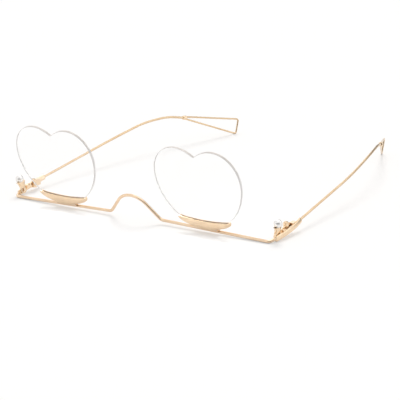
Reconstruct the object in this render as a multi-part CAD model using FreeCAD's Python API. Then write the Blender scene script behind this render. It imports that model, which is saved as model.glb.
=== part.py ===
import FreeCAD, Part
import math
import os

from FreeCAD import Vector

# Heart shaped glasses, in millimetres.
# +X is the wearer's left, +Y runs back along the temples, +Z is up.
# The origin is on the resting plane, under the middle of the front bar.

# Front wire
front_half_width = 70.0
front_wire_diameter = 1.4
bar_rise = 1.2
bar_corner_radius = 1.4
stub_depth_in_arm = 0.6

# Bridge
bridge_half_span = 13.8
bridge_rise = 10.7
bridge_flank_angle = 49.3
bridge_lean = 18.0
bridge_foot_radius = 3.0

# Lenses
lens_inset = 30.9
lens_thickness = 1.2
lens_edge_radius = 0.2
lens_lean = 12.1
lens_foot_offset = 2.1
lens_foot_height = 3.2
lens_half_width = 22.3
lens_notch_height = 33.4
lens_notch_radius = 0.9
lens_shoulder_height = 22.9
lobe_handle = 13.2
lobe_handle_angle = 38.5
shoulder_handle_up = 11.8
shoulder_handle_down = 9.4
foot_handle = 15.4

# Lens holders
holder_half_length = 13.5
holder_wall = 0.6
holder_end_top = 4.1
holder_end_height = 0.8
holder_middle_top = 3.05
holder_bottom = 1.25
holder_lip_radius = 0.2
holder_seat_length = 12.0
holder_seat_thickness = 1.0

# Arm bar, which the hinge divides into endpiece and temple block.
# Its middle line is given outward from the bar's corners, back from the bar and up from the resting plane.
arm_front_out = 1.35
arm_front_back = 2.6
arm_front_up = 1.4
arm_middle_out = 2.4
arm_middle_back = 13.0
arm_middle_up = 2.95
arm_rear_out = 1.7
arm_rear_back = 22.3
arm_rear_up = 4.55
arm_width = 1.9
arm_height = 2.3
arm_side_height = 1.15
arm_top_width = 0.7
arm_corner_radius = 0.45
arm_end_radius = 0.3
butt_joint_back = 14.9
butt_joint_gap = 0.06

# Pearl and its claw
pearl_diameter = 3.9
pearl_out = 1.8
pearl_back = 4.3
pearl_up = 7.8
peg_diameter = 0.9
peg_depth_in_pearl = 1.5
peg_depth_in_claw = 1.2
claw_lean = 12.0
claw_thickness = 1.5
claw_edge_bevel = 0.18
claw_front_tip = 2.75
claw_rear_tip = 2.9
claw_tip_drop = 1.15
claw_cup_drop = 1.5
claw_front_waist = 0.8
claw_rear_waist = 2.1
claw_waist_drop = 3.5
claw_front_base = 0.9
claw_front_base_drop = 6.1
claw_rear_base = 2.6
claw_rear_base_drop = 5.4
claw_toe_back = 0.7
claw_toe_drop = 7.1
claw_slot_width = 0.8
claw_slot_length = 1.9
claw_slot_back = 0.1
claw_slot_drop = 5.4

# Hinge
hinge_out = 0.4
hinge_back = 13.0
knuckle_diameter = 2.6
hinge_bottom = 1.9
hinge_height = 3.7
knuckle_gap = 0.05
leaf_clearance = 0.1
leaf_relief = 0.9
leaf_thickness = 0.8
leaf_bottom = 2.1
leaf_top = 5.1
leaf_front_top = 4.0
leaf_end_radius = 0.35
front_leaf_start_back = 7.8
front_leaf_pad_length = 2.2
front_leaf_notch_back = 9.3
front_leaf_notch_width = 0.9
temple_leaf_end_back = 18.4
screw_diameter = 1.2
screw_clearance = 0.03
screw_head_diameter = 2.4
screw_head_height = 0.7
screw_slot_width = 0.3
screw_slot_depth = 0.3

# Temple wire and tip, by the bends of their middle lines
temple_wire_diameter = 1.2
temple_socket_depth = 3.5
temple_rise_in = 0.8
temple_rise_back = 71.0
temple_rise_up = 11.4
temple_ear_in = 4.1
temple_ear_back = 95.4
temple_ear_up = 15.3
temple_crest_in = 8.2
temple_crest_back = 110.0
temple_crest_up = 15.5
temple_end_in = 12.0
temple_end_back = 119.8
temple_end_up = 13.2
temple_bend_share = 0.45
collar_diameter = 2.2
collar_length = 2.4
collar_edge_radius = 0.4
loop_wire_diameter = 0.9
loop_leg_offset = 0.52
loop_start_gap = 0.2
loop_corner_in = 26.0
loop_end_back = 149.2
loop_end_up = 7.5
loop_end_slant = 2.8
loop_end_drop = 7.38
loop_corner_radius = 1.1

# Derived sizes
bar_end_height = front_wire_diameter / 2
bar_slope = bar_rise / (front_half_width - bridge_half_span)
lens_middle = front_half_width - lens_inset
holder_thickness = lens_thickness + 2 * holder_wall
arm_front = Vector(front_half_width + arm_front_out, arm_front_back, arm_front_up)
arm_middle = Vector(front_half_width + arm_middle_out, arm_middle_back, arm_middle_up)
arm_rear = Vector(front_half_width + arm_rear_out, arm_rear_back, arm_rear_up)
pearl_centre = Vector(front_half_width + pearl_out, pearl_back, pearl_up)
hinge_x = front_half_width + hinge_out
knuckle_height = (hinge_height - 2 * knuckle_gap) / 3
middle_knuckle_bottom = hinge_bottom + knuckle_height + knuckle_gap
top_knuckle_bottom = middle_knuckle_bottom + knuckle_height + knuckle_gap
hinge_top = hinge_bottom + hinge_height
clear_knuckle_diameter = knuckle_diameter + 2 * leaf_clearance
leaf_outer_face = arm_middle.x - arm_width / 2 - 2 * leaf_clearance
leaf_inner_face = leaf_outer_face - leaf_thickness
temple_rise_point = Vector(front_half_width - temple_rise_in, temple_rise_back, temple_rise_up)
temple_ear_point = Vector(front_half_width - temple_ear_in, temple_ear_back, temple_ear_up)
temple_crest_point = Vector(front_half_width - temple_crest_in, temple_crest_back, temple_crest_up)
temple_end_point = Vector(front_half_width - temple_end_in, temple_end_back, temple_end_up)
loop_top_corner = Vector(front_half_width - loop_corner_in, loop_end_back, loop_end_up)
loop_bottom_corner = loop_top_corner - Vector(0, loop_end_slant, loop_end_drop)


# Shared shapes

def bend(before, corner, after, radius):
    """Tangent points and middle point of the arc that rounds one corner of a path."""
    to_before = (before - corner).normalize()
    to_after = (after - corner).normalize()
    half_angle = to_before.getAngle(to_after) / 2
    reach = radius / math.tan(half_angle)
    bisector = (to_before + to_after).normalize()
    middle = corner + bisector * (radius / math.sin(half_angle) - radius)
    return corner + to_before * reach, middle, corner + to_after * reach


def widest_radius(before, corner, after):
    """Largest gentle bend that the two runs beside a corner allow."""
    half_angle = (before - corner).getAngle(after - corner) / 2
    shorter = min((before - corner).Length, (after - corner).Length)
    return temple_bend_share * shorter * math.tan(half_angle)


def bent_wire(points, radii, diameter):
    """Round wire that runs straight between points and is bent at each inner point."""
    edges = []
    start = points[0]
    for before, corner, after, radius in zip(points, points[1:], points[2:], radii):
        enter, middle, leave = bend(before, corner, after, radius)
        edges.append(Part.LineSegment(start, enter).toShape())
        edges.append(Part.Arc(enter, middle, leave).toShape())
        start = leave
    edges.append(Part.LineSegment(start, points[-1]).toShape())
    path = Part.Wire(edges)
    section = Part.Wire(Part.makeCircle(diameter / 2, points[0], points[1] - points[0]))
    return path.makePipeShell([section], True, False)


def rod(start, end, diameter):
    """Round rod between two points."""
    return Part.makeCylinder(diameter / 2, (end - start).Length, start, end - start)


def slab(low, high):
    """Block between two opposite corners."""
    return Part.makeBox(high.x - low.x, high.y - low.y, high.z - low.z, low)


def mirrored(shape):
    """The same piece on the wearer's right."""
    return shape.mirror(Vector(0, 0, 0), Vector(1, 0, 0))


# Front wire with its arched bridge

def front_wire():
    lean = math.radians(bridge_lean)
    flank = math.radians(bridge_flank_angle)
    foot_height = bar_end_height + bar_rise
    apex_rise = bridge_half_span * math.tan(flank)
    crown_radius = (apex_rise - bridge_rise) / (1 / math.cos(flank) - 1)
    apex = Vector(0, -apex_rise * math.sin(lean), foot_height + apex_rise * math.cos(lean))
    foot = Vector(bridge_half_span, 0, foot_height)
    corner = Vector(front_half_width, 0, bar_end_height)
    stub = arm_front + (arm_front - corner).normalize() * stub_depth_in_arm
    left = [stub, corner, foot]
    right = [Vector(-point.x, point.y, point.z) for point in reversed(left)]
    radii = [bar_corner_radius, bridge_foot_radius, crown_radius, bridge_foot_radius, bar_corner_radius]
    return bent_wire(left + [apex] + right, radii, front_wire_diameter)


# Heart lens, drawn flat and then leaned forward over the bar

def heart_face():
    angle = math.radians(lobe_handle_angle)
    notch = Vector(0, lens_notch_height, 0)
    lobe = notch + Vector(lobe_handle * math.cos(angle), lobe_handle * math.sin(angle), 0)
    side = Vector(lens_half_width, lens_shoulder_height, 0)
    foot = Vector(0, 0, 0)
    upper = Part.BezierCurve()
    upper.setPoles([notch, lobe, side + Vector(0, shoulder_handle_up, 0), side])
    lower = Part.BezierCurve()
    below_side = side - Vector(0, shoulder_handle_down, 0)
    beside_foot = foot + Vector(foot_handle, 0, 0)
    lower.setPoles([side, below_side, beside_foot, foot])
    half = [upper.toShape(), lower.toShape()]
    other = [mirrored(edge) for edge in half]
    return Part.Face(Part.Wire(Part.__sortEdges__(half + other)))


def stand_on_bar(shape):
    """Turns a piece drawn flat upright, leans it and sets it over the bar."""
    shape.rotate(Vector(0, 0, 0), Vector(1, 0, 0), 90 + lens_lean)
    shape.translate(Vector(lens_middle, -lens_foot_offset, lens_foot_height))
    return shape


def lens():
    solid = heart_face().extrude(Vector(0, 0, lens_thickness))
    notch = Vector(0, lens_notch_height, lens_thickness / 2)
    notch_edge = min(solid.Edges, key=lambda edge: (edge.CenterOfMass - notch).Length)
    solid = solid.makeFillet(lens_notch_radius, [notch_edge])
    rims = [edge for edge in solid.Edges if edge.BoundBox.ZLength < lens_edge_radius]
    solid = solid.makeFillet(lens_edge_radius, rims)
    solid.translate(Vector(0, 0, -lens_thickness / 2))
    return stand_on_bar(solid)


# Boat shaped channel that grips the foot of a lens

def boat_outline():
    """Side view of the holder: a shallow arc above, a deeper one below and short upright ends."""
    end_bottom = holder_end_top - holder_end_height
    top_left = Vector(-holder_half_length, holder_end_top, 0)
    top_right = Vector(holder_half_length, holder_end_top, 0)
    low_left = Vector(-holder_half_length, end_bottom, 0)
    low_right = Vector(holder_half_length, end_bottom, 0)
    top = Part.Arc(top_left, Vector(0, holder_middle_top, 0), top_right).toShape()
    keel = Part.Arc(low_right, Vector(0, -holder_bottom, 0), low_left).toShape()
    ends = [
        Part.LineSegment(top_right, low_right).toShape(),
        Part.LineSegment(low_left, top_left).toShape(),
    ]
    return Part.Wire([top, ends[0], keel, ends[1]]), keel


def rolled_channel(keel):
    """A ring with a round outer edge, whose lowest stretch is the folded keel of the holder."""
    centre = keel.Curve.Center
    radius = keel.Curve.Radius
    half = holder_thickness / 2
    inner = radius - 2 * (holder_end_top + holder_bottom)
    low_front = centre + Vector(0, half - radius, half)
    low_rear = centre + Vector(0, half - radius, -half)
    high_front = centre + Vector(0, -inner, half)
    high_rear = centre + Vector(0, -inner, -half)
    section = Part.Wire([
        Part.Arc(low_front, centre + Vector(0, -radius, 0), low_rear).toShape(),
        Part.LineSegment(low_rear, high_rear).toShape(),
        Part.LineSegment(high_rear, high_front).toShape(),
        Part.LineSegment(high_front, low_front).toShape(),
    ])
    return Part.Face(section).revolve(centre, Vector(0, 0, 1), 360)


def holder_seat():
    """Low web that carries the channel on the front of the bar."""
    x = lens_middle - holder_seat_length / 2
    on_bar = Vector(x, 0, bar_end_height + bar_slope * (front_half_width - lens_middle))
    in_channel = Vector(x, -lens_foot_offset, lens_foot_height)
    run = (in_channel - on_bar).normalize()
    half = run.cross(Vector(1, 0, 0)) * (holder_seat_thickness / 2)
    corners = [on_bar - half, in_channel - half, in_channel + half, on_bar + half]
    face = Part.Face(Part.makePolygon(corners + corners[:1]))
    return face.extrude(Vector(holder_seat_length, 0, 0))


def lens_holder(lens_solid, wire_solid):
    outline, keel = boat_outline()
    boat = Part.Face(outline).extrude(Vector(0, 0, holder_thickness))
    lips = [edge for edge in boat.Edges if edge.CenterOfMass.y > holder_middle_top]
    boat = boat.makeFillet(holder_lip_radius, lips)
    boat.translate(Vector(0, 0, -holder_thickness / 2))
    boat = stand_on_bar(boat.common(rolled_channel(keel)))
    return largest(boat.fuse(holder_seat()).cut(lens_solid).cut(wire_solid))


# Arm bar: one bowed bar with sloping shoulders, from the front corner to the temple wire

def arm_bar():
    arc = Part.Arc(arm_front, arm_middle, arm_rear).toShape()
    centre = arc.Curve.Center
    axis = arc.Curve.Axis
    sweep = math.degrees(arc.LastParameter - arc.FirstParameter)
    outward = (arm_front - centre).normalize()
    upright = axis if axis.z > 0 else axis * -1
    half_out = outward * (arm_width / 2)
    half_top = outward * (arm_top_width / 2)
    bottom = arm_front - upright * (arm_height / 2)
    ridge = bottom + upright * arm_side_height
    top = bottom + upright * arm_height
    corners = [
        bottom - half_out,
        bottom + half_out,
        ridge + half_out,
        top + half_top,
        top - half_top,
        ridge - half_out,
    ]
    section = Part.Face(Part.makePolygon(corners + corners[:1]))
    bar = section.revolve(centre, axis, sweep)
    long_edges = [edge for edge in bar.Edges if edge.Length > 2 * arm_height]
    bar = bar.makeFillet(arm_corner_radius, long_edges)
    end_edges = [edge for face in bar.Faces if is_end(face) for edge in face.Edges]
    return bar.makeFillet(arm_end_radius, end_edges)


def is_end(face):
    """True for the two flat faces across the ends of the arm bar."""
    middle = face.CenterOfMass
    return min((middle - arm_front).Length, (middle - arm_rear).Length) < arm_end_radius


def part_ahead(shape, y):
    """What lies ahead of a plane across the arm."""
    box = shape.BoundBox
    box.enlarge(arm_height)
    return shape.common(slab(Vector(box.XMin, box.YMin, box.ZMin), Vector(box.XMax, y, box.ZMax)))


def part_behind(shape, y):
    """What lies behind a plane across the arm."""
    box = shape.BoundBox
    box.enlarge(arm_height)
    return shape.common(slab(Vector(box.XMin, y, box.ZMin), Vector(box.XMax, box.YMax, box.ZMax)))


# Pearl, the peg inside it and the claw that cups it

def leaned(shape):
    """Leans the claw's foot inward about the pearl's centre."""
    shape.rotate(pearl_centre, Vector(0, 1, 0), claw_lean)
    return shape


def pearl_peg():
    bottom = pearl_centre - Vector(0, 0, pearl_diameter / 2 + peg_depth_in_claw)
    top = pearl_centre - Vector(0, 0, pearl_diameter / 2 - peg_depth_in_pearl)
    return leaned(rod(bottom, top, peg_diameter))


def pearl(peg_solid):
    return Part.makeSphere(pearl_diameter / 2, pearl_centre).cut(peg_solid)


def claw_outline():
    """The claw's side view, in the plane of its inner face and measured from the pearl's centre."""
    def at(y, z):
        return pearl_centre + Vector(-claw_thickness / 2, y, z)

    front_tip = at(-claw_front_tip, -claw_tip_drop)
    rear_tip = at(claw_rear_tip, -claw_tip_drop)
    cup = at(0, -claw_cup_drop)
    front_waist = at(-claw_front_waist, -claw_waist_drop)
    rear_waist = at(claw_rear_waist, -claw_waist_drop)
    front_base = at(-claw_front_base, -claw_front_base_drop)
    rear_base = at(claw_rear_base, -claw_rear_base_drop)
    toe = at(claw_toe_back, -claw_toe_drop)
    return Part.Wire([
        Part.Arc(front_tip, cup, rear_tip).toShape(),
        Part.Arc(rear_tip, rear_waist, rear_base).toShape(),
        Part.Arc(rear_base, toe, front_base).toShape(),
        Part.Arc(front_base, front_waist, front_tip).toShape(),
    ])


def claw_slot():
    """Upright oval slot through the claw's base."""
    across = Vector(claw_thickness, 0, 0)
    middle = pearl_centre - across * 0.5 + Vector(0, claw_slot_back, -claw_slot_drop)
    half_straight = Vector(0, 0, (claw_slot_length - claw_slot_width) / 2)
    half_width = Vector(0, claw_slot_width / 2, 0)
    slot = slab(middle - half_straight - half_width, middle + half_straight + half_width + across)
    for end in (middle - half_straight, middle + half_straight):
        slot = slot.fuse(Part.makeCylinder(claw_slot_width / 2, claw_thickness, end, across))
    return slot


def pearl_claw(endpiece_solid, wire_solid, peg_solid):
    plate = Part.Face(claw_outline()).extrude(Vector(claw_thickness, 0, 0))
    below_cup = [edge for edge in plate.Edges if edge.CenterOfMass.z < pearl_centre.z - claw_cup_drop]
    rims = [edge for edge in below_cup if edge.BoundBox.XLength < claw_edge_bevel]
    plate = plate.makeChamfer(claw_edge_bevel, rims)
    claw = leaned(plate.cut(claw_slot()))
    claw = claw.cut(Part.makeSphere(pearl_diameter / 2, pearl_centre))
    for neighbour in (endpiece_solid, wire_solid, peg_solid):
        claw = claw.cut(neighbour)
    return largest(claw)


def largest(shape):
    """The main solid of a cut, without loose chips."""
    return max(shape.Solids, key=lambda solid: solid.Volume)


# Hinge: two outer knuckles on the front leaf, one between them on the temple leaf

def knuckle(bottom, diameter, height):
    return Part.makeCylinder(diameter / 2, height, Vector(hinge_x, hinge_back, bottom))


def hinge_bore():
    diameter = screw_diameter + 2 * screw_clearance
    return knuckle(hinge_bottom, diameter, hinge_height)


def hinge_pocket():
    """Room for the knuckles in the inner side of the arm."""
    height = hinge_height + 2 * arm_height
    return knuckle(hinge_bottom - arm_height, clear_knuckle_diameter, height)


def leaf_plate(start, end, start_top, end_top, outer_face):
    """Plate beside the arm, between two distances behind the bar and under a sloping top."""
    corners = [
        Vector(leaf_inner_face, start, leaf_bottom),
        Vector(leaf_inner_face, end, leaf_bottom),
        Vector(leaf_inner_face, end, end_top),
        Vector(leaf_inner_face, start, start_top),
    ]
    face = Part.Face(Part.makePolygon(corners + corners[:1]))
    return face.extrude(Vector(outer_face - leaf_inner_face, 0, 0))


def eased_end(plate, end):
    """Rounds the inner upright edge of a leaf plate at its free end."""
    corner = Vector(leaf_inner_face, end, (leaf_bottom + leaf_top) / 2)
    edge = min(plate.Edges, key=lambda side: (side.CenterOfMass - corner).Length)
    return plate.makeFillet(leaf_end_radius, [edge])


def knuckle_room(bottom, height, towards):
    """Room beside and around another leaf's knuckle: ahead of the pin for -1, behind it for 1."""
    reach = knuckle_diameter / 2 + leaf_relief
    low = Vector(leaf_inner_face, min(hinge_back, hinge_back + towards * reach), bottom)
    high = Vector(leaf_outer_face, max(hinge_back, hinge_back + towards * reach), bottom + height)
    return slab(low, high).fuse(knuckle(bottom, clear_knuckle_diameter, height))


def leaf_notch():
    """Half round notch in the top of the front leaf, beside its pad."""
    middle = Vector(leaf_inner_face, front_leaf_notch_back, leaf_front_top)
    across = Vector(leaf_thickness, 0, 0)
    return Part.makeCylinder(front_leaf_notch_width / 2, leaf_thickness, middle, across)


def front_leaf(endpiece_solid):
    start = front_leaf_start_back
    plate = leaf_plate(start, hinge_back, leaf_front_top, leaf_top, leaf_outer_face)
    pad_end = start + front_leaf_pad_length
    pad = leaf_plate(start, pad_end, leaf_front_top, leaf_front_top, arm_middle.x)
    leaf = eased_end(plate, start).fuse(eased_end(pad, start))
    for bottom in (hinge_bottom, top_knuckle_bottom):
        leaf = leaf.fuse(knuckle(bottom, knuckle_diameter, knuckle_height))
    room_height = knuckle_height + 2 * knuckle_gap
    leaf = leaf.cut(knuckle_room(middle_knuckle_bottom - knuckle_gap, room_height, -1))
    return largest(leaf.cut(leaf_notch()).cut(hinge_bore()).cut(endpiece_solid))


def temple_leaf(block_solid):
    end = temple_leaf_end_back
    plate = leaf_plate(hinge_back, end, leaf_top, leaf_top, leaf_outer_face)
    pad_start = butt_joint_back + leaf_clearance
    pad = leaf_plate(pad_start, end, leaf_top, leaf_top, arm_middle.x)
    leaf = eased_end(plate, end).fuse(eased_end(pad, end))
    room_height = hinge_height
    leaf = leaf.cut(knuckle_room(middle_knuckle_bottom - room_height, room_height, 1))
    leaf = leaf.cut(knuckle_room(middle_knuckle_bottom + knuckle_height, room_height, 1))
    leaf = leaf.fuse(knuckle(middle_knuckle_bottom, knuckle_diameter, knuckle_height))
    return largest(leaf.cut(hinge_bore()).cut(block_solid))


def hinge_screw():
    shank = knuckle(hinge_bottom, screw_diameter, hinge_height)
    head_radius = screw_head_diameter / 2
    dome_radius = (head_radius ** 2 + screw_head_height ** 2) / (2 * screw_head_height)
    dome_centre = Vector(hinge_x, hinge_back, hinge_top + screw_head_height - dome_radius)
    dome = Part.makeSphere(dome_radius, dome_centre)
    head = dome.common(knuckle(hinge_top, screw_head_diameter, screw_head_height))
    slot_floor = hinge_top + screw_head_height - screw_slot_depth
    slot = slab(
        Vector(hinge_x - head_radius, hinge_back - screw_slot_width / 2, slot_floor),
        Vector(hinge_x + head_radius, hinge_back + screw_slot_width / 2, hinge_top + screw_head_height),
    )
    return shank.fuse(head.cut(slot)).removeSplitter()


# Temple wire, its collar and the triangular loop at the tip

def temple_wire():
    heading = (temple_rise_point - arm_rear).normalize()
    points = [
        arm_rear - heading * temple_socket_depth,
        temple_rise_point,
        temple_ear_point,
        temple_crest_point,
        temple_end_point,
    ]
    radii = [widest_radius(*points[first:first + 3]) for first in range(3)]
    return bent_wire(points, radii, temple_wire_diameter)


def tip_heading():
    return (temple_end_point - temple_crest_point).normalize()


def tip_loop():
    spread = (loop_top_corner - loop_bottom_corner).normalize()
    start = temple_end_point + tip_heading() * loop_start_gap
    points = [
        start + spread * loop_leg_offset,
        loop_top_corner,
        loop_bottom_corner,
        start - spread * loop_leg_offset,
    ]
    return bent_wire(points, [loop_corner_radius, loop_corner_radius], loop_wire_diameter)


def tip_collar(wire_solid, loop_solid):
    half = tip_heading() * (collar_length / 2)
    sleeve = rod(temple_end_point - half, temple_end_point + half, collar_diameter)
    rims = [edge for edge in sleeve.Edges if edge.Closed]
    sleeve = sleeve.makeFillet(collar_edge_radius, rims)
    return sleeve.cut(wire_solid).cut(loop_solid)


# Assembly

def left_side(wire_solid):
    """Every piece on the wearer's left, by name."""
    bar = arm_bar()
    endpiece = largest(part_ahead(bar, butt_joint_back).cut(wire_solid).cut(hinge_pocket()))
    stem = temple_wire()
    block = part_behind(bar, butt_joint_back + butt_joint_gap).cut(stem)
    loop = tip_loop()
    glass = lens()
    peg = pearl_peg()
    return {
        "lens": glass,
        "lens_holder": lens_holder(glass, wire_solid),
        "endpiece": endpiece,
        "pearl": pearl(peg),
        "pearl_peg": peg,
        "pearl_claw": pearl_claw(endpiece, wire_solid, peg),
        "hinge_front_leaf": front_leaf(endpiece),
        "hinge_temple_leaf": temple_leaf(block),
        "hinge_screw": hinge_screw(),
        "temple_block": block,
        "temple_wire": stem,
        "tip_collar": tip_collar(stem, loop),
        "tip_loop": loop,
    }


def main():
    os.makedirs("parts", exist_ok=True)
    wire_solid = front_wire()
    pieces = {"front_wire": wire_solid}
    for name, shape in left_side(wire_solid).items():
        pieces[name + "_left"] = shape
        pieces[name + "_right"] = mirrored(shape)
    for name, shape in pieces.items():
        shape.exportStep("parts/" + name + ".step")
        print(name, len(shape.Solids), shape.isValid(), round(shape.Volume, 3))


main()
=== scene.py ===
import math

import bpy
from mathutils import Matrix, Vector


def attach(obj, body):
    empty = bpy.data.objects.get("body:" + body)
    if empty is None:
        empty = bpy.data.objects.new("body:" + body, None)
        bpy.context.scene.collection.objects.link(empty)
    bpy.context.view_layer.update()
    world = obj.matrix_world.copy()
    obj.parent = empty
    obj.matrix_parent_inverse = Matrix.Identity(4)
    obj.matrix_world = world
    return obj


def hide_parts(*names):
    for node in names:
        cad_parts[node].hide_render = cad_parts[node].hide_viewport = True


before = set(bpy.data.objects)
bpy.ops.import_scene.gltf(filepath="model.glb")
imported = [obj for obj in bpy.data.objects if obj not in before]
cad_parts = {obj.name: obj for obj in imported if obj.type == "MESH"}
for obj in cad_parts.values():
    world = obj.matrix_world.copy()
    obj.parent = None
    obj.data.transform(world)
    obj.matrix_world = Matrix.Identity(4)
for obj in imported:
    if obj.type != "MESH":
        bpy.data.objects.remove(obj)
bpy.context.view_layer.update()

# Heart shaped glasses with clear lenses, pale gold wire and pearls at the hinges.
# Every length is in metres and every angle in degrees.

# The wearer's sides, with the sign of x
SIDES = (("left", 1.0), ("right", -1.0))

# Camera, at the photograph's viewing angle
CAMERA_AZIMUTH = 35.42
CAMERA_ELEVATION = 16.92
CAMERA_ROLL = -2.097
CAMERA_DISTANCE = 0.7005
CAMERA_TARGET = Vector((0.02188, 0.01865, 0.00714))
CAMERA_LENS_MM = 141.48
CAMERA_SENSOR_MM = 36.0
CAMERA_CLIP_START = 0.01
CAMERA_CLIP_END = 20.0

# Colours, linear
GOLD_LIGHT = (0.865, 0.67, 0.485, 1.0)
GOLD_DEEP = (0.805, 0.59, 0.405, 1.0)
# The temples' gold is the front wire's gold made darker: painted shade
SHADED_TEMPLE_LIGHT = (0.77, 0.59, 0.395, 1.0)
SHADED_TEMPLE_DEEP = (0.70, 0.51, 0.325, 1.0)
FITTING_LIGHT = (0.93, 0.74, 0.525, 1.0)
FITTING_DEEP = (0.88, 0.665, 0.455, 1.0)
HOLDER_LIGHT = (0.85, 0.67, 0.475, 1.0)
HOLDER_DEEP = (0.80, 0.60, 0.41, 1.0)
SCREW_LIGHT = (0.80, 0.60, 0.40, 1.0)
SCREW_DEEP = (0.66, 0.47, 0.29, 1.0)
# Painted shade, dark brown, laid into crevices, slots and hinge gaps
PAINTED_CREVICE_SHADE = (0.11, 0.07, 0.04, 1.0)
# Lighter, browner painted shade for the holders' channel, seen through the lens
PAINTED_CHANNEL_SHADE = (0.52, 0.31, 0.16, 1.0)
LENS_CLEAR = (0.99, 0.99, 0.99, 1.0)
LENS_RIM = (0.97, 0.97, 0.96, 1.0)
# Painted shade at the lens arrises, and a painted brown reflection of the holder on the lens's top rim
LENS_ARRIS_SHADE = (0.90, 0.87, 0.84, 1.0)
LENS_TOP_RIM_REFLECTION = (0.75, 0.69, 0.64, 1.0)
PEARL_BODY = (0.97, 0.955, 0.935, 1.0)
PEARL_WARM = (0.92, 0.86, 0.80, 1.0)
FLAG_DARK = (0.012, 0.011, 0.010, 1.0)
WHITE = (1.0, 1.0, 1.0, 1.0)

# Metal: range of roughness for each finish, marks and colour drift to the metre, and depth of the marks
GOLD_POLISH = (0.11, 0.19)
TEMPLE_POLISH = (0.15, 0.24)
FITTING_POLISH = (0.18, 0.28)
SCREW_POLISH = (0.22, 0.36)
WIRE_GRAIN = 9000.0
FITTING_GRAIN = 7000.0
GRAIN_DETAIL = 6.0
GRAIN_STRENGTH = 0.05
GRAIN_DEPTH = 0.00001
DRIFT_SCALE = 180.0

# Painted shade in crevices: how near a wall stands that darkens them, and how open they are when fully
# shaded and when unshaded
CREVICE_REACH = 0.0007
CREVICE_DARK = 0.25
CREVICE_UNSHADED = 0.75
CREVICE_SAMPLES = 16

# Shading of the metal: vertices this close are one, and edges this steep stay sharp
MERGE_DISTANCE = 0.000002
SHARP_ANGLE = 51.6

# Lenses: how squarely a surface faces along the axis where the rim ends, the flat begins and the arrises
# take painted shade, and how far up the rim looks where it takes a painted brown reflection of the holder
LENS_RIM_END = 0.95
LENS_FLAT = 0.99
LENS_ARRIS_RANGE = (0.1, 0.4)
LENS_TOP_RANGE = (0.1, 0.9)

# Finish of the lenses
LENS_INDEX = 1.49
LENS_SMEAR_SCALE = 90.0
LENS_SMEAR_ROUGHNESS = 0.02
RIM_ROUGHNESS = 0.3
RIM_CLEARNESS = 0.3

# Pearls
PEARL_SWIRL_SCALE = 500.0
PEARL_SWIRL_DETAIL = 3.0
PEARL_POLISH = (0.14, 0.20)
PEARL_BUMP_STRENGTH = 0.04
PEARL_BUMP_DEPTH = 0.00002
PEARL_OVERTONE_BLEND = 0.35
PEARL_LUSTRE = 0.6
PEARL_INDEX = 1.6
PEARL_COAT_ROUGHNESS = 0.05

# Lens holders: place and lean of the lens's foot, half length, lip and keel at the middle and the ends,
# and how far the ends are lowered and drawn in, and from where
HOLDER_MIDDLE = 0.03910
HOLDER_FOOT = (-0.00210, 0.00320)
HOLDER_LEAN = 12.1
HOLDER_HALF = 0.0135
HOLDER_TOP = (0.00305, 0.0041)
HOLDER_KEEL = (-0.00125, 0.0033)
HOLDER_DROP = 0.0007
HOLDER_DROP_START = 0.0065
HOLDER_FLARE = 0.0005
HOLDER_FLARE_START = 0.0116

# Floor and room
FLOOR_SIZE = 6.0
FLOOR_ALBEDO = (0.64, 0.63, 0.62, 1.0)
FLOOR_GLOW = 0.38
ROOM_LIGHT = 0.67
OPENING_TOWARD = (0.0, 1.0, 0.0)
OPENING_EDGE = 39.0
OPENING_MIDDLE = 30.0
OPENING_DARK = 0.6

# Lamps
KEY_POWER = 1.3
KEY_PLACE = Vector((0.0, 0.2, 0.8))
KEY_TARGET = Vector((0.0, 0.03, 0.0))
KEY_SIZE = (0.7, 0.45)
SUN_POWER = 1.36
SUN_SPREAD = 26.0
SUN_TOWARD = Vector((0.30, -0.65, -0.85))

# Cards that only mirrors see
FLAG_DISTANCE = 0.9
FLAG_WIDTH = 1.9
FLAG_HEIGHT = 0.5
PANEL_AZIMUTH = 43.5
PANEL_DISTANCE = 1.4
PANEL_WIDTH = 0.83
PANEL_LOW = 0.5
PANEL_HEIGHT = 0.55
PANEL_GLOW = 1.9

# Light paths
MOST_BOUNCES = 32
GLOSSY_BOUNCES = 24

# Colour sockets of a Mix node, by number, because its other sockets share their names
MIX_FIRST = 6
MIX_SECOND = 7
MIX_RESULT = 2


# Node helpers

def new_material(name):
    """A node material, its node tree and its Principled shader."""
    material = bpy.data.materials.new(name)
    material.use_nodes = True
    tree = material.node_tree
    return material, tree, tree.nodes["Principled BSDF"]


def feed(tree, socket, value):
    """Links another node's output to an input, or sets the input to a plain value."""
    if isinstance(value, bpy.types.NodeSocket):
        tree.links.new(value, socket)
    else:
        socket.default_value = value


def add(tree, kind, **inputs):
    """A node with some of its inputs set or linked, named with underscores for spaces."""
    node = tree.nodes.new(kind)
    for name, value in inputs.items():
        feed(tree, node.inputs[name.replace("_", " ")], value)
    return node


def worked_out(tree, operation, *values):
    """Result of one operation on numbers or number sockets."""
    node = tree.nodes.new("ShaderNodeMath")
    node.operation = operation
    for socket, value in zip(node.inputs, values):
        feed(tree, socket, value)
    return node.outputs["Value"]


def facing(tree, vector, direction):
    """How squarely a vector socket points along a direction, from -1 to 1."""
    node = tree.nodes.new("ShaderNodeVectorMath")
    node.operation = "DOT_PRODUCT"
    feed(tree, node.inputs[0], vector)
    feed(tree, node.inputs[1], direction)
    return node.outputs["Value"]


def noise(tree, place, scale, detail=4.0):
    """Noise over the object's own coordinates, with about scale bumps to the metre."""
    return add(tree, "ShaderNodeTexNoise", Vector=place, Scale=scale, Detail=detail).outputs["Fac"]


def mapped(tree, value, low, high, start=0.3, end=0.7):
    """Spreads a value's range, by default that of noise, over the range from low to high."""
    node = add(
        tree, "ShaderNodeMapRange", Value=value, From_Min=start, From_Max=end, To_Min=low, To_Max=high
    )
    return node.outputs["Result"]


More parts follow.
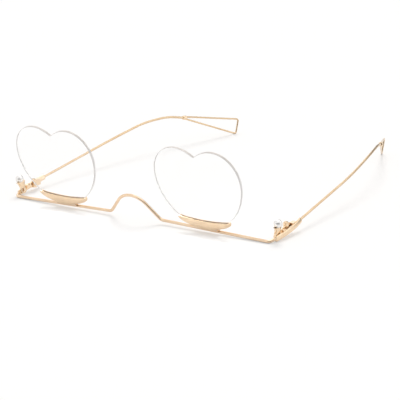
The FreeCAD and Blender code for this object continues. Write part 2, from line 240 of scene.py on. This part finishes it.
def blended(tree, factor, first, second):
    """Colour between two colours or colour sockets."""
    node = tree.nodes.new("ShaderNodeMix")
    node.data_type = "RGBA"
    tree.links.new(factor, node.inputs["Factor"])
    feed(tree, node.inputs[MIX_FIRST], first)
    feed(tree, node.inputs[MIX_SECOND], second)
    return node.outputs[MIX_RESULT]


def mixed_shaders(tree, factor, first, second):
    """Shader between two shader sockets."""
    node = tree.nodes.new("ShaderNodeMixShader")
    for socket, value in zip(node.inputs, (factor, first, second)):
        tree.links.new(value, socket)
    return node.outputs["Shader"]


# Materials

def plated_metal(name, light, deep, polish, grain, shade_colour=PAINTED_CREVICE_SHADE):
    """Polished plating: slow colour drift, fine polishing marks and painted shade in its crevices."""
    material, tree, shader = new_material(name)
    place = tree.nodes.new("ShaderNodeTexCoord").outputs["Object"]
    drift = noise(tree, place, DRIFT_SCALE)
    colour = blended(tree, mapped(tree, drift, 0.0, 1.0), light, deep)
    # Painted shade: where walls close in, the colour darkens toward the shade colour
    facet = tree.nodes.new("ShaderNodeNewGeometry").outputs["True Normal"]
    hollow = add(tree, "ShaderNodeAmbientOcclusion", Distance=CREVICE_REACH, Normal=facet)
    hollow.samples = CREVICE_SAMPLES
    painted_shade = mapped(tree, hollow.outputs["AO"], 1.0, 0.0, CREVICE_DARK, CREVICE_UNSHADED)
    tree.links.new(blended(tree, painted_shade, colour, shade_colour), shader.inputs["Base Color"])
    marks = noise(tree, place, grain, GRAIN_DETAIL)
    tree.links.new(mapped(tree, marks, *polish), shader.inputs["Roughness"])
    bump = add(tree, "ShaderNodeBump", Height=marks, Strength=GRAIN_STRENGTH, Distance=GRAIN_DEPTH)
    tree.links.new(bump.outputs["Normal"], shader.inputs["Normal"])
    shader.inputs["Metallic"].default_value = 1.0
    return material


def clear_lens(lens):
    """Clear acrylic with a satin edge, painted shade at its fine arrises, and a painted brown reflection
    of the holder where the edge looks up.
    """
    material, tree, shader = new_material("clear_lens")
    coordinates = tree.nodes.new("ShaderNodeTexCoord")
    outward = coordinates.outputs["Normal"]
    axis = max(lens.data.polygons, key=lambda face: face.area).normal
    flatness = worked_out(tree, "ABSOLUTE", facing(tree, outward, axis))
    rim = mapped(tree, flatness, 1.0, 0.0, LENS_RIM_END, LENS_FLAT)
    # Painted shade along the arrises, and a painted brown reflection of the gold holder on the upward rim
    arris_shade = mapped(tree, flatness, 0.0, 1.0, *LENS_ARRIS_RANGE)
    axes = add(tree, "ShaderNodeSeparateXYZ", Vector=outward)
    reflection_mask = mapped(tree, axes.outputs["Z"], 0.0, 1.0, *LENS_TOP_RANGE)
    edge = blended(tree, reflection_mask, blended(tree, arris_shade, LENS_RIM, LENS_ARRIS_SHADE), LENS_TOP_RIM_REFLECTION)
    tree.links.new(blended(tree, rim, LENS_CLEAR, edge), shader.inputs["Base Color"])
    smears = noise(tree, coordinates.outputs["Object"], LENS_SMEAR_SCALE)
    smeared = mapped(tree, smears, 0.0, LENS_SMEAR_ROUGHNESS)
    satin = mapped(tree, rim, 0.0, RIM_ROUGHNESS, 0.0, 1.0)
    tree.links.new(worked_out(tree, "MAXIMUM", smeared, satin), shader.inputs["Roughness"])
    clearness = mapped(tree, rim, 1.0, RIM_CLEARNESS, 0.0, 1.0)
    tree.links.new(clearness, shader.inputs["Transmission Weight"])
    shader.inputs["IOR"].default_value = LENS_INDEX
    through = add(tree, "ShaderNodeBsdfTransparent", Color=LENS_CLEAR)
    shadow = tree.nodes.new("ShaderNodeLightPath").outputs["Is Shadow Ray"]
    both = mixed_shaders(tree, shadow, shader.outputs["BSDF"], through.outputs["BSDF"])
    tree.links.new(both, tree.nodes["Material Output"].inputs["Surface"])
    return material


def pearl_lustre():
    """Nacre: a soft pale body under a glossy coat, with a faint warm overtone."""
    material, tree, shader = new_material("pearl")
    place = tree.nodes.new("ShaderNodeTexCoord").outputs["Object"]
    turned_away = add(tree, "ShaderNodeLayerWeight", Blend=PEARL_OVERTONE_BLEND).outputs["Facing"]
    swirl = noise(tree, place, PEARL_SWIRL_SCALE, PEARL_SWIRL_DETAIL)
    overtone = worked_out(tree, "MULTIPLY", turned_away, swirl)
    tree.links.new(blended(tree, overtone, PEARL_BODY, PEARL_WARM), shader.inputs["Base Color"])
    tree.links.new(mapped(tree, swirl, *PEARL_POLISH), shader.inputs["Roughness"])
    bump = add(
        tree, "ShaderNodeBump", Height=swirl, Strength=PEARL_BUMP_STRENGTH, Distance=PEARL_BUMP_DEPTH
    )
    tree.links.new(bump.outputs["Normal"], shader.inputs["Normal"])
    shader.inputs["Metallic"].default_value = PEARL_LUSTRE
    shader.inputs["IOR"].default_value = PEARL_INDEX
    shader.inputs["Coat Weight"].default_value = 1.0
    shader.inputs["Coat Roughness"].default_value = PEARL_COAT_ROUGHNESS
    return material


def coat(piece, material):
    """Gives a piece one material."""
    piece.data.materials.clear()
    piece.data.materials.append(material)


def sort_of(name):
    """A piece's name without its side."""
    return name.removesuffix("_left").removesuffix("_right")


def dress(material, *sorts):
    """Gives the named sorts of pieces, on both sides where they come in pairs, one material."""
    for name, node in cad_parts.items():
        if sort_of(name) in sorts:
            coat(node, material)


# Lens holders

def eased(value):
    """Smooth step from 0 to 1."""
    value = min(max(value, 0.0), 1.0)
    return value * value * (3.0 - 2.0 * value)


def blunt_holder(name, side):
    """Stands in for a holder, with blunter ends: lower toward the keel and drawn in at the lip."""
    lean = math.radians(HOLDER_LEAN)
    up = Vector((0.0, -math.sin(lean), math.cos(lean)))
    foot = Vector((side * HOLDER_MIDDLE, *HOLDER_FOOT))
    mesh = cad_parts["lens_holder_" + name].data.copy()
    for vertex in mesh.vertices:
        along = vertex.co.x - foot.x
        height = (vertex.co - foot).dot(up)
        share = (along / HOLDER_HALF) ** 2
        top = HOLDER_TOP[0] + (HOLDER_TOP[1] - HOLDER_TOP[0]) * share
        keel = HOLDER_KEEL[0] + (HOLDER_KEEL[1] - HOLDER_KEEL[0]) * share
        depth = min(max((top - height) / (top - keel), 0.0), 1.0)
        drop = eased((abs(along) - HOLDER_DROP_START) / (HOLDER_HALF - HOLDER_DROP_START))
        flare = eased((abs(along) - HOLDER_FLARE_START) / (HOLDER_HALF - HOLDER_FLARE_START))
        vertex.co -= up * (depth * drop * HOLDER_DROP)
        vertex.co.x -= math.copysign((1.0 - depth) * flare * HOLDER_FLARE, along)
    piece = bpy.data.objects.new("holder_" + name, mesh)
    bpy.context.scene.collection.objects.link(piece)
    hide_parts("lens_holder_" + name)
    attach(piece, "front")
    return piece


# Even shading

def even_normals():
    """Modifier tree that shades a piece smoothly up to its sharp edges, whatever its triangles."""
    tree = bpy.data.node_groups.new("even_normals", "GeometryNodeTree")
    for direction in ("INPUT", "OUTPUT"):
        tree.interface.new_socket("Geometry", in_out=direction, socket_type="NodeSocketGeometry")
    start = tree.nodes.new("NodeGroupInput")
    end = tree.nodes.new("NodeGroupOutput")
    merge = add(
        tree, "GeometryNodeMergeByDistance", Geometry=start.outputs["Geometry"], Distance=MERGE_DISTANCE
    )
    angle = tree.nodes.new("GeometryNodeInputMeshEdgeAngle").outputs["Unsigned Angle"]
    sharp = add(tree, "FunctionNodeCompare", A=angle, B=math.radians(SHARP_ANGLE))
    normal = add(
        tree,
        "GeometryNodeSetMeshNormal",
        Mesh=merge.outputs["Geometry"],
        Edge_Sharpness=sharp.outputs["Result"],
    )
    tree.links.new(normal.outputs["Mesh"], end.inputs["Geometry"])
    return tree


def smooth_metal(stand_ins):
    """Even shading on the stand-ins and on every node but the lenses and pearls."""
    tree = even_normals()
    metal = [node for name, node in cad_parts.items() if sort_of(name) not in ("lens", "pearl")]
    for piece in metal + stand_ins:
        piece.modifiers.new("even_normals", "NODES").node_group = tree
        piece.modifiers.new("flat_faces", "WEIGHTED_NORMAL").keep_sharp = True


# Floor, room and lamps

def seen_rays(tree):
    """1 for what the camera, a mirror or glass sees, and 0 for light that falls on something."""
    path = tree.nodes.new("ShaderNodeLightPath")
    seen = path.outputs["Is Camera Ray"]
    for name in ("Is Glossy Ray", "Is Transmission Ray"):
        seen = worked_out(tree, "MAXIMUM", seen, path.outputs[name])
    return seen


def four_cornered(name, corners, material):
    """Flat object with four corners."""
    mesh = bpy.data.meshes.new(name)
    mesh.from_pydata(corners, [], [(0, 1, 2, 3)])
    mesh.materials.append(material)
    card = bpy.data.objects.new(name, mesh)
    bpy.context.scene.collection.objects.link(card)
    return card


def white_floor():
    """Plain pale floor that stays white in the picture and keeps soft shadows."""
    material, tree, shader = new_material("floor")
    tree.nodes.remove(shader)
    matte = add(tree, "ShaderNodeBsdfDiffuse", Color=FLOOR_ALBEDO)
    level = worked_out(tree, "MULTIPLY", seen_rays(tree), FLOOR_GLOW)
    glow = add(tree, "ShaderNodeEmission", Color=WHITE, Strength=level)
    both = tree.nodes.new("ShaderNodeAddShader")
    tree.links.new(matte.outputs["BSDF"], both.inputs[0])
    tree.links.new(glow.outputs["Emission"], both.inputs[1])
    tree.links.new(both.outputs["Shader"], tree.nodes["Material Output"].inputs["Surface"])
    half = FLOOR_SIZE / 2
    corners = [(-half, -half, 0.0), (half, -half, 0.0), (half, half, 0.0), (-half, half, 0.0)]
    four_cornered("floor", corners, material)


def studio_world():
    """White tent with an even light, plain white where seen, whose back opening metal mirrors darker."""
    world = bpy.data.worlds.new("studio")
    bpy.context.scene.world = world
    world.use_nodes = True
    tree = world.node_tree
    room = tree.nodes["Background"]
    room.inputs["Color"].default_value = WHITE
    room.inputs["Strength"].default_value = ROOM_LIGHT
    outward = tree.nodes.new("ShaderNodeTexCoord").outputs["Generated"]
    edge = math.cos(math.radians(OPENING_EDGE))
    middle = math.cos(math.radians(OPENING_MIDDLE))
    opening = mapped(tree, facing(tree, outward, OPENING_TOWARD), 0.0, OPENING_DARK, edge, middle)
    glossy = tree.nodes.new("ShaderNodeLightPath").outputs["Is Glossy Ray"]
    mirrored = worked_out(tree, "MULTIPLY", glossy, opening)
    level = worked_out(tree, "SUBTRACT", 1.0, mirrored)
    plain = add(tree, "ShaderNodeBackground", Color=WHITE, Strength=level)
    both = mixed_shaders(tree, seen_rays(tree), room.outputs["Background"], plain.outputs["Background"])
    tree.links.new(both, tree.nodes["World Output"].inputs["Surface"])


def mirrored_card(name, material, toward, distance, width, low, height):
    """Upright card that only polished metal and pearls mirror, and that lights nothing."""
    middle = toward * distance + Vector((0.0, 0.0, low))
    side = Vector((-toward.y, toward.x, 0.0)) * (width / 2)
    top = Vector((0.0, 0.0, height))
    corners = [middle - side, middle + side, middle + side + top, middle - side + top]
    card = four_cornered(name, corners, material)
    card.visible_camera = False
    card.visible_diffuse = False
    card.visible_transmission = False
    card.visible_shadow = False


def camera_side_flag():
    """Dark card around the camera that only mirrors see: a painted dark reflection standing for the
    tent's open side.
    """
    material, _, shader = new_material("flag")
    shader.inputs["Base Color"].default_value = FLAG_DARK
    shader.inputs["Roughness"].default_value = 1.0
    azimuth = math.radians(CAMERA_AZIMUTH)
    toward = Vector((math.sin(azimuth), -math.cos(azimuth), 0.0))
    mirrored_card("flag", material, toward, FLAG_DISTANCE, FLAG_WIDTH, 0.0, FLAG_HEIGHT)


def side_panels():
    """Glowing panels behind the object that only mirrors see: painted highlights along flat tops and
    wires.
    """
    material, _, shader = new_material("side_panel")
    shader.inputs["Base Color"].default_value = FLAG_DARK
    shader.inputs["Emission Color"].default_value = WHITE
    shader.inputs["Emission Strength"].default_value = PANEL_GLOW
    azimuth = math.radians(PANEL_AZIMUTH)
    for name, side in SIDES:
        toward = Vector((side * math.sin(azimuth), math.cos(azimuth), 0.0))
        mirrored_card(
            "panel_" + name, material, toward, PANEL_DISTANCE, PANEL_WIDTH, PANEL_LOW, PANEL_HEIGHT
        )


def aimed_lamp(name, kind, power, toward):
    """A lamp that shines along a direction: its object and its light."""
    light = bpy.data.lights.new(name, kind)
    light.energy = power
    lamp = bpy.data.objects.new(name, light)
    lamp.rotation_mode = "QUATERNION"
    lamp.rotation_quaternion = toward.to_track_quat("-Z", "Y")
    bpy.context.scene.collection.objects.link(lamp)
    return lamp, light


def overhead_softbox():
    """Softbox that metal and pearls mirror, and that lights no matte surface."""
    lamp, light = aimed_lamp("key_softbox", "AREA", KEY_POWER, KEY_TARGET - KEY_PLACE)
    light.shape = "RECTANGLE"
    light.size, light.size_y = KEY_SIZE
    lamp.location = KEY_PLACE
    lamp.visible_diffuse = False


def soft_sun():
    """Broad light from behind, which lays the shadows in front of the wires and shows in no mirror."""
    lamp, light = aimed_lamp("sun", "SUN", SUN_POWER, SUN_TOWARD)
    light.angle = math.radians(SUN_SPREAD)
    lamp.visible_glossy = False


# Camera

def camera_axes():
    """The camera's right, up and backward directions."""
    azimuth = math.radians(CAMERA_AZIMUTH)
    elevation = math.radians(CAMERA_ELEVATION)
    roll = math.radians(CAMERA_ROLL)
    back = Vector((
        math.sin(azimuth) * math.cos(elevation),
        -math.cos(azimuth) * math.cos(elevation),
        math.sin(elevation),
    ))
    right = Vector((math.cos(azimuth), math.sin(azimuth), 0.0))
    up = back.cross(right)
    turned_right = right * math.cos(roll) + up * math.sin(roll)
    turned_up = up * math.cos(roll) - right * math.sin(roll)
    return turned_right, turned_up, back


def photo_camera():
    """Camera that sees the object as the photograph does."""
    right, up, back = camera_axes()
    lens = bpy.data.cameras.new("camera")
    lens.lens = CAMERA_LENS_MM
    lens.sensor_width = CAMERA_SENSOR_MM
    lens.clip_start = CAMERA_CLIP_START
    lens.clip_end = CAMERA_CLIP_END
    camera = bpy.data.objects.new("camera", lens)
    axes = Matrix((right, up, back)).transposed().to_4x4()
    camera.matrix_world = Matrix.Translation(CAMERA_TARGET + back * CAMERA_DISTANCE) @ axes
    bpy.context.scene.collection.objects.link(camera)
    bpy.context.scene.camera = camera


def glass_bounces():
    """Lets light run along inside the lenses to their edges."""
    cycles = bpy.context.scene.cycles
    cycles.max_bounces = MOST_BOUNCES
    cycles.glossy_bounces = GLOSSY_BOUNCES
    cycles.transmission_bounces = MOST_BOUNCES


# The object

holders = [blunt_holder(name, side) for name, side in SIDES]
smooth_metal(holders)
gold_wire = plated_metal("gold_wire", GOLD_LIGHT, GOLD_DEEP, GOLD_POLISH, WIRE_GRAIN)
# Temples: the same gold, darker, as painted shade
shaded_gold_temple = plated_metal("shaded_gold_temple", SHADED_TEMPLE_LIGHT, SHADED_TEMPLE_DEEP, TEMPLE_POLISH, WIRE_GRAIN)
gold_fittings = plated_metal(
    "gold_fittings", FITTING_LIGHT, FITTING_DEEP, FITTING_POLISH, FITTING_GRAIN
)
# The holders take the lighter painted shade in their channel
gold_holder = plated_metal(
    "gold_holder", HOLDER_LIGHT, HOLDER_DEEP, FITTING_POLISH, FITTING_GRAIN, PAINTED_CHANNEL_SHADE
)
screw_metal = plated_metal("screw_metal", SCREW_LIGHT, SCREW_DEEP, SCREW_POLISH, WIRE_GRAIN)
dress(gold_wire, "front_wire")
dress(shaded_gold_temple, "temple_wire", "tip_loop")
dress(gold_fittings, "endpiece", "pearl_claw", "hinge_front_leaf", "hinge_temple_leaf")
dress(gold_fittings, "temple_block", "tip_collar")
dress(gold_holder, "lens_holder")
for holder in holders:
    coat(holder, gold_holder)
dress(screw_metal, "hinge_screw", "pearl_peg")
dress(clear_lens(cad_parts["lens_left"]), "lens")
dress(pearl_lustre(), "pearl")

# Its surroundings

white_floor()
studio_world()
camera_side_flag()
side_panels()
overhead_softbox()
soft_sun()
photo_camera()
glass_bounces()
bpy.context.scene.view_settings.view_transform = "Standard"
